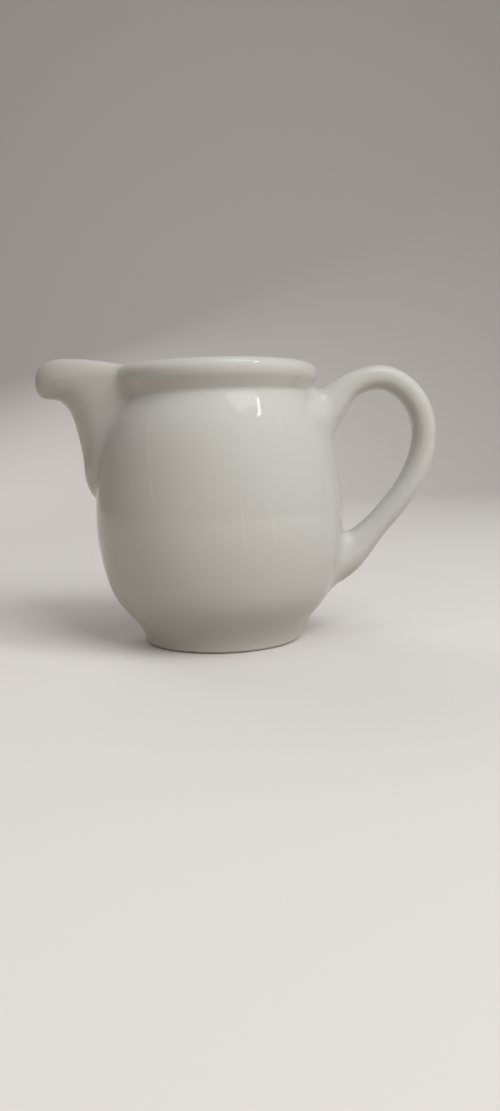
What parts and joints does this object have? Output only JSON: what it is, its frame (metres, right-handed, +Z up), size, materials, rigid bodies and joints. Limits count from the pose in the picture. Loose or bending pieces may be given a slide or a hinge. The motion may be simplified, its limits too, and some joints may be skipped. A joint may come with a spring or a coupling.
{
  "type": "creamer",
  "caption": "Small white glazed porcelain creamer: barrel body on a short foot, rolled rim, pulled overhanging pouring lip and a looped ear handle.",
  "frame": {"origin": "centre of the foot ring on the table", "axes": "+Z up the body's axis, +X towards the handle, -X towards the spout"},
  "size_m": [0.1087, 0.0678, 0.077],
  "materials": {
    "glaze": "glossy white glaze"
  },
  "bodies": {
    "root": {"creamer": "glaze"}
  },
  "joints": []
}
